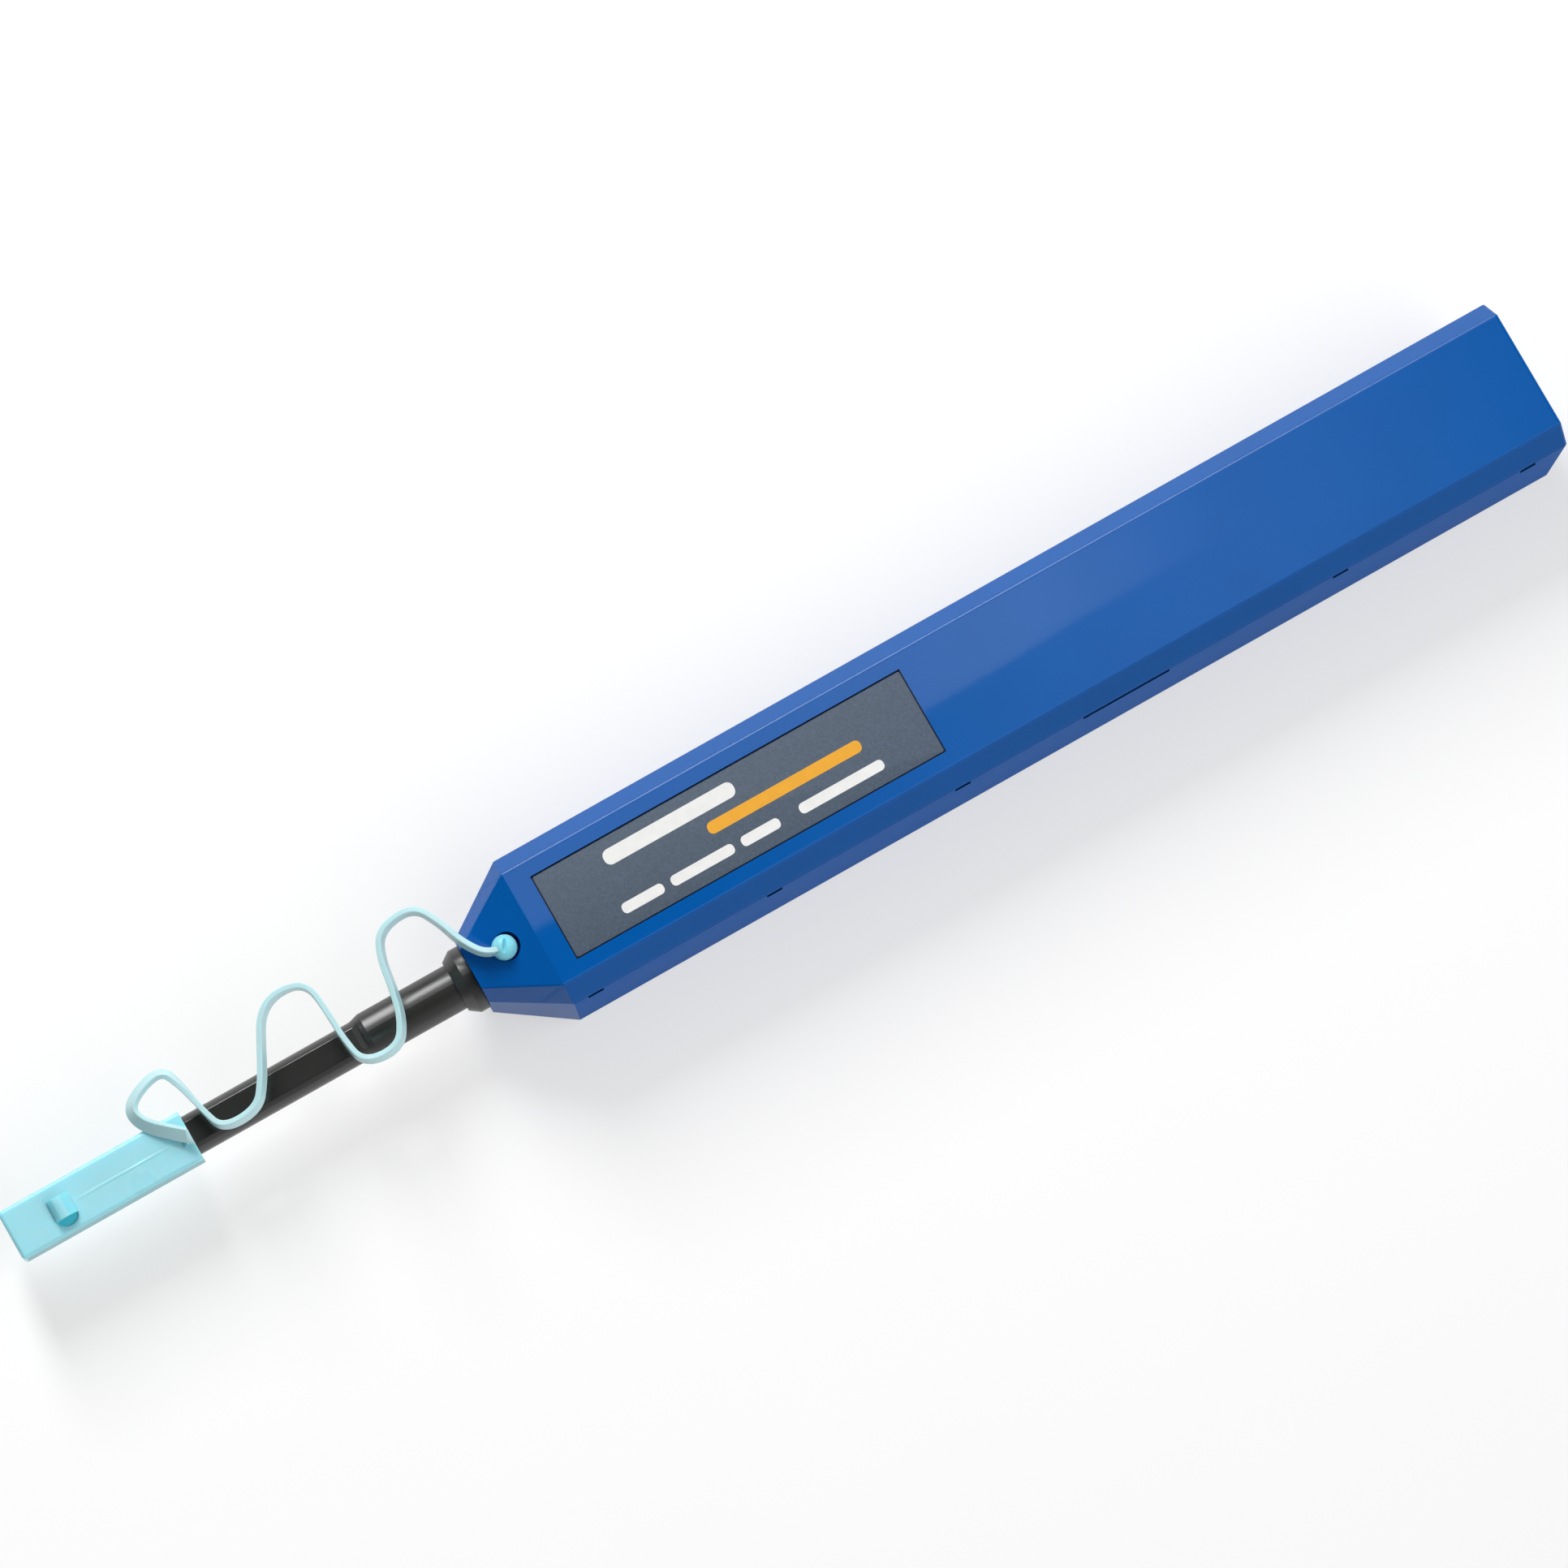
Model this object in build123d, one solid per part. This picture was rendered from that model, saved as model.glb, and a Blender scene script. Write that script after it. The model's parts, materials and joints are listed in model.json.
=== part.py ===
from build123d import *
import math
import os

# Push-to-clean fibre connector pen, in millimetres.
# +X runs from the tip to the rear, +Z is the label face, and the pen lies on its back at z = 0.

# Lengths along the pen, from the tip of the cap to the rear
cap_length = 23.6
tube_exposed = 22.1
barrel_exposed = 12.6
collar_exposed = 2.4
nose_length = 8.3
body_length = 131.0

# Case: two shells that part along the lower edge of the upper chamfer
case_width = 19.0
case_depth = 16.0
case_chamfer = 2.15
case_wall = 1.5
front_wall = 2.0
rear_wall = 2.0
rear_slant = 3.2
nose_width = 8.2
nose_depth = 10.6
nose_chamfer = 1.6
edge_round = 0.35
seam_reveal = 0.12
lip_wall = 0.7
lip_height = 1.3
lip_gap = 0.08
lip_setback = 6.0

# Witness slots of the snap hooks, just under the seam, measured from the front of the body
hook_places = [2.8, 26.2, 50.9, 100.6, 125.3]
hook_slot_length = 2.0
hook_slot_depth = 0.3
hook_slot_height = 0.35
hook_drop = 0.2
pry_place = 72.4
pry_length = 11.3

# Label and its recess
label_length = 48.4
label_width = 11.0
label_inset = 2.7
label_thick = 0.15
label_recess = 0.3
label_margin = 0.1

# Nose collar, a bush that the barrel slides in
collar_radius = 4.0
collar_face_radius = 3.15
collar_chamfer_length = 1.2
collar_spigot_radius = 3.4
collar_flange_radius = 4.6
collar_flange_thick = 1.5
seat_gap = 0.05
slide_fit = 0.06

# Nozzle
tube_radius = 2.45
tube_flat_height = 2.03
tube_flat_round = 0.2
barrel_radius = 2.8
barrel_cone = 1.2
nozzle_bore_radius = 1.05
nozzle_flange_radius = 4.4
nozzle_flange_thick = 1.5
stop_gap = 0.1
sleeve_radius = 1.2
sleeve_bore_radius = 0.75
sleeve_reach = 6.2
sleeve_seat = 5.0
sleeve_step = 0.25
sleeve_clear = 1.2

# Carriage frame
push_travel = 8.0
run_gap = 0.15
frame_base = 1.2
frame_front_wall = 3.0
frame_mid_wall = 3.0
frame_rear_wall = 2.5
frame_side_wall = 1.0
frame_side_drop = 2.15
frame_top_gap = 1.1

# Turning cam shaft and its pin
cam_floor_gap = 1.15
cam_length = 28.4
cam_turn = 180.0
cam_groove_radius = 0.85
cam_pin_radius = 0.7
cam_pin_boss_radius = 1.6
cam_pin_boss_gap = 1.3
cam_overrun = 1.2
cam_end_gap = 0.5
cam_front_journal = 9.6
cam_journal_radius = 1.9
cam_rear_journal = 4.5
cam_rear_radius = 2.2
journal_fit = 0.05
cam_bore_radius = 1.0
spring_pocket_radius = 1.4
spring_pocket_depth = 8.4

# Cleaning head
head_radius = 0.85
head_flat = 0.33
head_tip_radius = 0.6
head_neck_gap = 0.3
head_reach = 0.9
head_flange_radius = 1.3
head_flange_thick = 1.0
head_flange_setback = 0.2
head_travel = 1.0
tip_spring_wire = 0.25
tip_spring_radius = 1.05
tip_spring_turns = 4

# Thread and reels
thread_radius = 0.15
thread_offset = 0.5
thread_gap = 0.05
reel_gap = 0.2
reel_headroom = 2.1
reel_side_gap = 1.6
reel_flange_thick = 0.8
supply_hub_radius = 3.0
takeup_hub_radius = 3.4
supply_coil_margin = 1.0
takeup_coil_radius = 4.0
axle_radius = 1.5
axle_head_radius = 2.4
axle_head_thick = 0.8
axle_fit = 0.05
supply_setback = 12.5
reel_spacing = 1.4
post_radius = 0.8
post_drop = 1.55
post_setback = 3.5
post_clear = 0.45
second_post_setback = 2.0
brake_thick = 0.25
brake_width = 0.8
brake_post = 1.2
brake_overrun = 2.0

# Feed gear and rack
gear_module = 0.6
rack_room = 1.4
gear_pressure = 20.0
gear_backlash = 0.1
gear_thick = 2.0
gear_hub_radius = 2.2
gear_hub_drop = 2.75
gear_clear = 1.0
rack_teeth = 8
rack_side_gap = 0.1
clutch_wire = 0.34
clutch_turns = 2
clutch_gap = 0.06

# Return spring
spring_wire = 0.7
spring_radius = 3.85
spring_turns = 6
spring_length = 24.0
spring_boss_radius = 2.9
spring_boss_length = 2.5
spring_seat_wall = 1.6

# Guide cap
cap_width = 6.2
cap_edge = 0.5
cap_socket_width = 4.65
cap_socket_depth = 7.4
cap_web = 1.2
cap_guide_radius = 0.63
cap_fit = 0.06
cap_nub_radius = 1.45
cap_nub_length = 2.6
cap_nub_place = 6.8
cap_lug_length = 1.6
cap_lug_width = 1.8
cap_lug_height = 1.0

# Tether: a flat moulded strap, in a plane that rises from the cap to the nose
strap_width = 1.8
strap_thick = 0.7
strap_lift = 1.1
strap_ball_lift = 0.5
plug_radius = 1.5
plug_setback = 3.5
plug_lean = 0.1
plug_sink = 0.1
plug_pocket_radius = 1.68
plug_pocket_depth = 1.75
plug_stem_radius = 0.75
plug_stem_length = 1.3
plug_stem_fit = 0.03

# Stations along X and heights that follow from the sizes above
overall_length = cap_length + tube_exposed + barrel_exposed + collar_exposed + nose_length + body_length
cap_tip_x = -overall_length / 2
cap_mouth_x = cap_tip_x + cap_length
barrel_x = cap_mouth_x + tube_exposed
collar_x = barrel_x + barrel_exposed
nose_x = collar_x + collar_exposed
body_x = nose_x + nose_length
rear_x = body_x + body_length
axis_z = case_depth / 2
seam_z = case_depth - case_chamfer
inner_width = case_width - 2 * case_wall
inner_depth = case_depth - 2 * case_wall
inner_chamfer = case_chamfer - case_wall * (2 - math.sqrt(2))
floor_z = case_wall
roof_z = case_depth - case_wall
cavity_x = body_x + front_wall
cavity_end_x = rear_x - rear_slant - rear_wall
cap_top_z = axis_z + cap_width / 2

nozzle_in_cap = cap_length - cap_socket_depth - cap_web - sleeve_reach - sleeve_clear
nozzle_tip_x = cap_mouth_x - nozzle_in_cap
nozzle_flange_x = cavity_x + seat_gap + collar_flange_thick + stop_gap
frame_x = nozzle_flange_x + nozzle_flange_thick
cam_x = frame_x + frame_front_wall + cam_end_gap
cam_end_x = cam_x + cam_length
journal_x = cam_x - cam_front_journal
mid_wall_x = cam_end_x + cam_end_gap
mid_wall_end_x = mid_wall_x + frame_mid_wall
cam_pin_x = cam_x + (cam_length + push_travel) / 2
pocket_end_x = journal_x + spring_pocket_depth
flange_x = journal_x + head_flange_setback
sleeve_tip_x = nozzle_tip_x - sleeve_reach
head_tip_x = sleeve_tip_x - head_reach

reel_flange_radius = inner_width / 2 - reel_side_gap
supply_coil_radius = reel_flange_radius - supply_coil_margin
gear_teeth = math.floor(2 * (inner_width / 2 - rack_room) / gear_module + 0.01)
gear_pitch_radius = gear_module * gear_teeth / 2
gear_outer_radius = gear_pitch_radius + gear_module
gear_root_radius = gear_pitch_radius - 1.25 * gear_module
supply_x = mid_wall_end_x + supply_setback
takeup_x = supply_x + reel_flange_radius + gear_outer_radius + reel_spacing
frame_rear_x = takeup_x + gear_outer_radius + gear_clear
frame_end_x = frame_rear_x + frame_rear_wall
spring_seat_x = frame_end_x + spring_length

base_z = floor_z + run_gap
deck_z = base_z + frame_base
reel_z = deck_z + reel_gap
gear_top_z = reel_z + gear_thick
takeup_z = gear_top_z + reel_gap
reel_top = roof_z - reel_headroom
hub_top_z = reel_top - gear_hub_drop
cam_radius = axis_z - deck_z - cam_floor_gap
frame_half = inner_width / 2 - inner_chamfer - run_gap
frame_top_z = roof_z - frame_top_gap
post_y = post_radius - reel_flange_radius - post_clear
post_x = mid_wall_end_x + post_setback
second_post_x = supply_x + reel_flange_radius + second_post_setback
brake_y = reel_flange_radius + thread_gap
brake_x = supply_x - reel_flange_radius - brake_post

nose_rise = (case_depth - nose_depth) / 2
nose_slope = math.degrees(math.atan2(nose_rise, nose_length))
plug_x = body_x - plug_setback
plug_z = case_depth - plug_setback * nose_rise / nose_length


def block(x0, x1, y0, y1, z0, z1):
    """Box between two corners."""
    return Pos((x0 + x1) / 2, (y0 + y1) / 2, (z0 + z1) / 2) * Box(x1 - x0, y1 - y0, z1 - z0)


def rod(radius, x0, x1):
    """Cylinder on the pen's axis."""
    turned = Rot(0, 90, 0) * Cylinder(radius, x1 - x0)
    return Pos((x0 + x1) / 2, 0, axis_z) * turned


def upright(radius, x, y, z0, z1):
    """Cylinder that stands on the carriage."""
    return Pos(x, y, (z0 + z1) / 2) * Cylinder(radius, z1 - z0)


def section(points, x):
    """Polygon across the pen at x, from (y, z) points."""
    plane = Plane(origin=(x, 0, 0), x_dir=(0, 1, 0), z_dir=(1, 0, 0))
    return plane * make_face(Polyline(*points, close=True))


def turned(points):
    """Solid of revolution about the pen's axis, from (x, radius) points."""
    plane = Plane(origin=(0, 0, axis_z), x_dir=(1, 0, 0), z_dir=(0, -1, 0))
    return revolve(plane * make_face(Polyline(*points, close=True)), Axis((0, 0, axis_z), (1, 0, 0)))


def octagon(width, depth, chamfer):
    """Chamfered oblong about the pen's axis, as (y, z) points."""
    half = width / 2
    low = axis_z - depth / 2
    high = axis_z + depth / 2
    return [
        (half, low + chamfer),
        (half, high - chamfer),
        (half - chamfer, high),
        (chamfer - half, high),
        (-half, high - chamfer),
        (-half, low + chamfer),
        (chamfer - half, low),
        (half - chamfer, low),
    ]


def coil(wire, radius, length, turns):
    """Spring that stands on z = 0, made of one square wire."""
    run = length - wire
    path = Pos(0, 0, wire / 2) * Helix(run / turns, run, radius)
    start = Plane(origin=path @ 0, z_dir=path % 0)
    return sweep(start * RegularPolygon(wire / 2, 4), path=path, is_frenet=True)


def lying(shape, x):
    """Turn a piece that stands on z = 0 to lie along the pen's axis from x."""
    return Pos(x, 0, axis_z) * (Rot(0, 90, 0) * shape)


# Openings and pockets that both shells share
nose_hole = rod(collar_spigot_radius + seat_gap, nose_x - 1, cavity_x + 1)
cavity = extrude(
    section(octagon(inner_width, inner_depth, inner_chamfer), cavity_x),
    cavity_end_x - cavity_x,
    dir=(1, 0, 0),
)
slant_points = [(rear_x, case_depth), (rear_x - rear_slant, 0), (rear_x + 1, 0), (rear_x + 1, case_depth)]
slant_face = Plane.XZ * make_face(Polyline(*slant_points, close=True))
slant_cut = extrude(slant_face, case_width, both=True)


def make_outer():
    """Case and nose as one solid, with every edge but the nose's front rounded."""
    body_face = section(octagon(case_width, case_depth, case_chamfer), body_x)
    nose_face = section(octagon(nose_width, nose_depth, nose_chamfer), nose_x)
    solid = extrude(body_face, body_length, dir=(1, 0, 0)) - slant_cut
    solid += loft([nose_face, body_face], ruled=True)
    edges = solid.edges()
    return fillet([edge for edge in edges if edge.center().X > nose_x + edge_round], edge_round)


def make_seam_side():
    """Space above the seam, which runs along the lower edge of the upper chamfer and down the nose."""
    nose_seam_z = axis_z + nose_depth / 2 - nose_chamfer
    slope = (seam_z - nose_seam_z) / nose_length
    points = [
        (nose_x - 1, nose_seam_z - slope),
        (body_x, seam_z),
        (rear_x + 1, seam_z),
        (rear_x + 1, case_depth + 1),
        (nose_x - 1, case_depth + 1),
    ]
    return extrude(Plane.XZ * make_face(Polyline(*points, close=True)), case_width, both=True)


outer_form = make_outer()
above_seam = make_seam_side()


def seam_groove():
    """Narrow reveal cut round the upper edge of the lower shell's sides."""
    run = block(body_x, rear_x, -seam_reveal, seam_reveal, seam_z - seam_reveal, seam_z)
    return [Pos(0, side * case_width / 2, 0) * run for side in (-1, 1)]


def hook_slots():
    """Witness slots under the seam on both sides, and the longer pry slot."""
    slots = []
    top = seam_z - hook_drop
    for side in (-1, 1):
        y = side * case_width / 2
        for place in hook_places:
            x = body_x + place
            half = hook_slot_length / 2
            slots.append(block(x - half, x + half, y - hook_slot_depth, y + hook_slot_depth,
                               top - hook_slot_height, top))
        x = body_x + pry_place
        slots.append(block(x - pry_length / 2, x + pry_length / 2, y - hook_slot_depth,
                           y + hook_slot_depth, top - hook_slot_height, top))
    return slots


def make_upper_case():
    """Shallow shell with the label recess, the locating lip, the plug's pocket and the cam pin."""
    case = (outer_form & above_seam) - cavity - nose_hole
    lip_x = cavity_x + lip_setback
    lip_end_x = cavity_end_x - lip_setback
    for side in (-1, 1):
        outer = inner_width / 2 - lip_gap
        edges = sorted((side * (outer - lip_wall), side * outer))
        case += block(lip_x, lip_end_x, *edges, seam_z - lip_height, seam_z + case_wall / 4)
        case += block(lip_x, lip_end_x, *sorted((side * (outer - lip_wall), side * (outer + lip_gap))),
                      seam_z, seam_z + case_wall / 4)
    recess_x = body_x + label_inset
    case -= block(recess_x, recess_x + label_length, -label_width / 2, label_width / 2,
                  case_depth - label_recess, case_depth + 1)
    case -= plug_hole()
    pin_z = axis_z + cam_radius
    case += upright(cam_pin_boss_radius, cam_pin_x, 0, pin_z + cam_pin_boss_gap, roof_z + case_wall / 2)
    case += upright(cam_pin_radius, cam_pin_x, 0, pin_z, roof_z)
    case += Pos(cam_pin_x, 0, pin_z) * Sphere(cam_pin_radius, -90, 0)
    return case


def nose_plane():
    """Plane on the nose's upper face at the tether plug, facing out."""
    turn = math.radians(nose_slope)
    normal = (-math.sin(turn), 0, math.cos(turn))
    return Plane(origin=(plug_x, 0, plug_z), x_dir=(math.cos(turn), 0, math.sin(turn)), z_dir=normal)


def plug_hole():
    """Pocket for the ball of the tether plug, and the hole for its stem."""
    stem_depth = plug_pocket_depth + plug_stem_length
    pocket = nose_plane() * Cylinder(plug_pocket_radius, 2 * plug_pocket_depth)
    return pocket + nose_plane() * Cylinder(plug_stem_radius + plug_stem_fit, 2 * stem_depth)


def rack_profile():
    """Rack teeth on the +Y wall, as (x, y) points, with a gap facing the gear at rest."""
    pitch = math.pi * gear_module
    slope = math.tan(math.radians(gear_pressure))
    tip_y = gear_pitch_radius - gear_module
    root_y = gear_pitch_radius + 1.25 * gear_module
    wall_y = inner_width / 2 + case_wall / 3
    half = pitch / 4 - gear_backlash / 2
    first = takeup_x + push_travel / 2 - rack_teeth * pitch / 2
    shift = (takeup_x - first) / pitch % 1
    start = first + (shift - 0.5) * pitch
    points = [(start - pitch / 2, wall_y), (start - pitch / 2, root_y)]
    for tooth in range(rack_teeth):
        x = start + tooth * pitch
        points.append((x - half - 1.25 * gear_module * slope, root_y))
        points.append((x - half + gear_module * slope, tip_y))
        points.append((x + half - gear_module * slope, tip_y))
        points.append((x + half + 1.25 * gear_module * slope, root_y))
    end = start + (rack_teeth - 0.5) * pitch
    return points + [(end, root_y), (end, wall_y)]


def make_lower_case():
    """Deep shell with the rack, the spring seat and the witness slots."""
    case = outer_form - above_seam - cavity - nose_hole - plug_hole()
    case -= block(cavity_x, cavity_end_x, -inner_width / 2, inner_width / 2, axis_z, seam_z)
    seat_half = inner_width / 2 + case_wall / 3
    seat = block(spring_seat_x, spring_seat_x + spring_seat_wall, -seat_half, seat_half,
                 floor_z - case_wall / 3, seam_z - lip_height - lip_gap)
    case += seat
    case += rod(spring_boss_radius, spring_seat_x - spring_boss_length, spring_seat_x)
    rack_face = make_face(Polyline(*rack_profile(), close=True))
    rack = extrude(rack_face, gear_thick - 2 * rack_side_gap, dir=(0, 0, 1))
    case += Pos(0, 0, reel_z + rack_side_gap) * rack
    for groove in seam_groove():
        case -= groove
    for slot in hook_slots():
        case -= slot
    return case


def make_label():
    """Thin printed plate in the recess."""
    x = body_x + label_inset + label_margin
    half = label_width / 2 - label_margin
    floor = case_depth - label_recess
    return block(x, x + label_length - 2 * label_margin, -half, half, floor, floor + label_thick)


def make_nose_collar():
    """Bush that the shells clamp, with its chamfered collar outside the nose."""
    bore = barrel_radius + slide_fit
    front = collar_x
    shoulder = nose_x - seat_gap
    flange = cavity_x + seat_gap
    points = [
        (front, bore),
        (front, collar_face_radius),
        (front + collar_chamfer_length, collar_radius),
        (shoulder, collar_radius),
        (shoulder, collar_spigot_radius),
        (flange, collar_spigot_radius),
        (flange, collar_flange_radius),
        (flange + collar_flange_thick, collar_flange_radius),
        (flange + collar_flange_thick, bore),
    ]
    return turned(points)


def make_nozzle():
    """Tube, barrel and stop flange in one moulding, with a flat along the top of the tube."""
    end = frame_x + frame_front_wall
    step = journal_x - seat_gap
    sleeve_end = nozzle_tip_x + sleeve_seat
    points = [
        (nozzle_tip_x, sleeve_radius + seat_gap),
        (nozzle_tip_x, tube_radius - sleeve_step),
        (nozzle_tip_x + sleeve_step, tube_radius),
        (barrel_x, tube_radius),
        (barrel_x + barrel_cone, barrel_radius),
        (nozzle_flange_x, barrel_radius),
        (nozzle_flange_x, nozzle_flange_radius),
        (frame_x, nozzle_flange_radius),
        (frame_x, barrel_radius),
        (end, barrel_radius),
        (end, cam_journal_radius + journal_fit),
        (step, cam_journal_radius + journal_fit),
        (step, nozzle_bore_radius),
        (sleeve_end, nozzle_bore_radius),
        (sleeve_end, sleeve_radius + seat_gap),
    ]
    flat_z = axis_z + tube_flat_height
    flat = block(nozzle_tip_x - 1, barrel_x + barrel_cone / 2, -tube_radius, tube_radius,
                 flat_z, flat_z + barrel_radius)
    nozzle = turned(points) - flat
    face = nozzle.faces().filter_by(Axis.Z).sort_by(Axis.Z)[-1]
    return fillet(face.edges().filter_by(Axis.X), tube_flat_round)


def make_tip_sleeve():
    """Slim sleeve that carries the head into an adapter."""
    end = nozzle_tip_x + sleeve_seat - seat_gap
    points = [
        (sleeve_tip_x, sleeve_bore_radius),
        (sleeve_tip_x, sleeve_radius - sleeve_step),
        (sleeve_tip_x + sleeve_step, sleeve_radius),
        (end, sleeve_radius),
        (end, sleeve_bore_radius),
    ]
    return turned(points)


def make_frame():
    """Sliding tray with bearing walls, thread posts and the spring boss."""
    front_end = frame_x + frame_front_wall
    frame = block(frame_x, frame_end_x, -frame_half, frame_half, base_z, deck_z)
    rear_half = gear_pitch_radius - gear_module - run_gap
    walls = [
        (frame_x, front_end, frame_half),
        (mid_wall_x, mid_wall_end_x, frame_half),
        (frame_rear_x, frame_end_x, rear_half),
    ]
    for start, end, half in walls:
        frame += block(start, end, -half, half, base_z, frame_top_z)
    for side in (-1, 1):
        edges = sorted((side * (frame_half - frame_side_wall), side * frame_half))
        frame += block(frame_x, mid_wall_end_x, *edges, base_z, axis_z - frame_side_drop)
    for x in (post_x, second_post_x):
        frame += upright(post_radius, x, post_y, base_z, reel_top - post_drop)
    frame += block(brake_x, brake_x + brake_post, brake_y - brake_post, brake_y, base_z, reel_top)
    frame += rod(spring_boss_radius, frame_end_x, frame_end_x + spring_boss_length)
    frame -= rod(barrel_radius + seat_gap, frame_x - 1, front_end + 1)
    frame -= rod(cam_rear_radius + journal_fit, mid_wall_x - 1, mid_wall_end_x + 1)
    for x in (supply_x, takeup_x):
        frame -= upright(axle_radius, x, 0, base_z - 1, deck_z + 1)
    return frame


def make_axle(x):
    """Headed pin that a reel turns on."""
    pin = upright(axle_radius, x, 0, base_z, reel_top + reel_gap)
    head = upright(axle_head_radius, x, 0, reel_top + reel_gap, reel_top + reel_gap + axle_head_thick)
    return pin + head


def make_supply_reel():
    """Bobbin of the clean thread."""
    reel = upright(supply_hub_radius, supply_x, 0, reel_z, reel_top)
    for z in (reel_z, reel_top - reel_flange_thick):
        reel += upright(reel_flange_radius, supply_x, 0, z, z + reel_flange_thick)
    return reel - upright(axle_radius + axle_fit, supply_x, 0, reel_z - 1, reel_top + 1)


def make_takeup_reel():
    """Bobbin of the used thread, with a pocket for the clutch spring."""
    reel = upright(takeup_hub_radius, takeup_x, 0, takeup_z, reel_top)
    for z in (takeup_z, reel_top - reel_flange_thick):
        reel += upright(reel_flange_radius, takeup_x, 0, z, z + reel_flange_thick)
    reel -= upright(axle_radius + axle_fit, takeup_x, 0, takeup_z - 1, reel_top + 1)
    pocket = gear_hub_radius + clutch_wire + 2 * clutch_gap
    return reel - upright(pocket, takeup_x, 0, takeup_z - 1, hub_top_z + clutch_gap)


def wound(x, inner, outer, start, end):
    """Thread wound between a reel's flanges."""
    z0 = start + reel_flange_thick + thread_gap
    z1 = end - reel_flange_thick - thread_gap
    return upright(outer, x, 0, z0, z1) - upright(inner + thread_gap, x, 0, z0 - 1, z1 + 1)


def gear_outline():
    """Involute spur gear about the origin, as (x, y) points, with a tooth on +Y."""
    pressure = math.radians(gear_pressure)
    base_radius = gear_pitch_radius * math.cos(pressure)
    half = math.pi / 2 / gear_teeth - gear_backlash / 2 / gear_pitch_radius

    def flank(radius):
        angle = math.acos(min(base_radius / radius, 1))
        return half + math.tan(pressure) - pressure - math.tan(angle) + angle

    steps = 3
    radii = [base_radius + (gear_outer_radius - base_radius) * i / steps for i in range(steps + 1)]
    side = [(gear_root_radius, flank(base_radius))] + [(radius, flank(radius)) for radius in radii]
    outline = []
    for tooth in range(gear_teeth):
        centre = math.pi / 2 + 2 * math.pi * tooth / gear_teeth
        for radius, turn in side:
            outline.append((radius * math.cos(centre - turn), radius * math.sin(centre - turn)))
        for radius, turn in reversed(side):
            outline.append((radius * math.cos(centre + turn), radius * math.sin(centre + turn)))
    return outline


def make_takeup_gear():
    """Feed gear with the hub that the clutch spring grips."""
    disc = extrude(make_face(Polyline(*gear_outline(), close=True)), gear_thick, dir=(0, 0, 1))
    gear = Pos(takeup_x, 0, reel_z) * disc
    gear += upright(gear_hub_radius, takeup_x, 0, reel_z, hub_top_z)
    return gear - upright(axle_radius + axle_fit, takeup_x, 0, reel_z - 1, hub_top_z + 1)


def make_clutch_spring():
    """Wrap spring round the gear's hub, inside the take-up reel."""
    radius = gear_hub_radius + clutch_gap + clutch_wire / 2
    length = hub_top_z - takeup_z - clutch_gap
    return Pos(takeup_x, 0, takeup_z) * coil(clutch_wire, radius, length, clutch_turns)


def make_brake():
    """Leaf that drags on the supply reel's upper flange."""
    x0 = brake_x
    x1 = supply_x
    x2 = supply_x + brake_overrun
    outer = brake_y + brake_thick
    points = [
        (x0, brake_y),
        (x1, brake_y),
        (x2, brake_y + brake_thick),
        (x2, outer + brake_thick),
        (x1, outer),
        (x0, outer),
    ]
    leaf = extrude(make_face(Polyline(*points, close=True)), brake_width, dir=(0, 0, 1))
    return Pos(0, 0, reel_top - brake_width) * leaf


def strand(points, radius):
    """Thread along straight runs with small arcs at the turns."""
    path = Polyline(*points) if len(points) == 2 else FilletPolyline(*points, radius=radius)
    start = Plane(origin=path @ 0, z_dir=path % 0)
    return sweep(start * RegularPolygon(thread_radius, 6), path=path)


def touch_point(start, centre_x, coil_radius, side):
    """Point where a thread from start meets a coil on the pen's axis, on its +Y or -Y side."""
    reach = coil_radius + thread_radius + thread_gap
    dx = centre_x - start[0]
    dy = -start[1]
    span = math.hypot(dx, dy)
    turn = math.atan2(dy, dx) + side * math.asin(reach / span)
    run = math.sqrt(span**2 - reach**2)
    return (start[0] + run * math.cos(turn), start[1] + run * math.sin(turn), axis_z)


def make_supply_run():
    """Clean thread from the supply reel to the rear of the cam shaft."""
    end = (cam_end_x + cam_rear_journal + thread_gap, thread_offset, axis_z)
    return strand([touch_point(end, supply_x, supply_coil_radius, 1), end], 0)


def make_return_run():
    """Used thread from the cam shaft round two posts to the take-up reel."""
    reach = post_radius + thread_radius + thread_gap
    y = post_y - reach
    corner = (second_post_x + reach / 2, y, axis_z)
    points = [
        (cam_end_x + cam_rear_journal + thread_gap, -thread_offset, axis_z),
        (post_x - reach, y, axis_z),
        corner,
        touch_point(corner, takeup_x, takeup_coil_radius, -1),
    ]
    return strand(points, reach)


def make_tip_thread():
    """Thread that runs up one flat of the head, over its tip and back down the other."""
    rear = cam_end_x + cam_rear_journal - head_travel - 2 * thread_radius
    front = head_tip_x + thread_offset - thread_radius
    out = Line((rear, thread_offset, axis_z), (front, thread_offset, axis_z))
    over = ThreePointArc(out @ 1, (front - thread_offset, 0, axis_z), (front, -thread_offset, axis_z))
    back = Line(over @ 1, (rear, -thread_offset, axis_z))
    path = Wire([out, over, back])
    start = Plane(origin=path @ 0, z_dir=path % 0)
    return sweep(start * RegularPolygon(thread_radius, 6), path=path)


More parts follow.
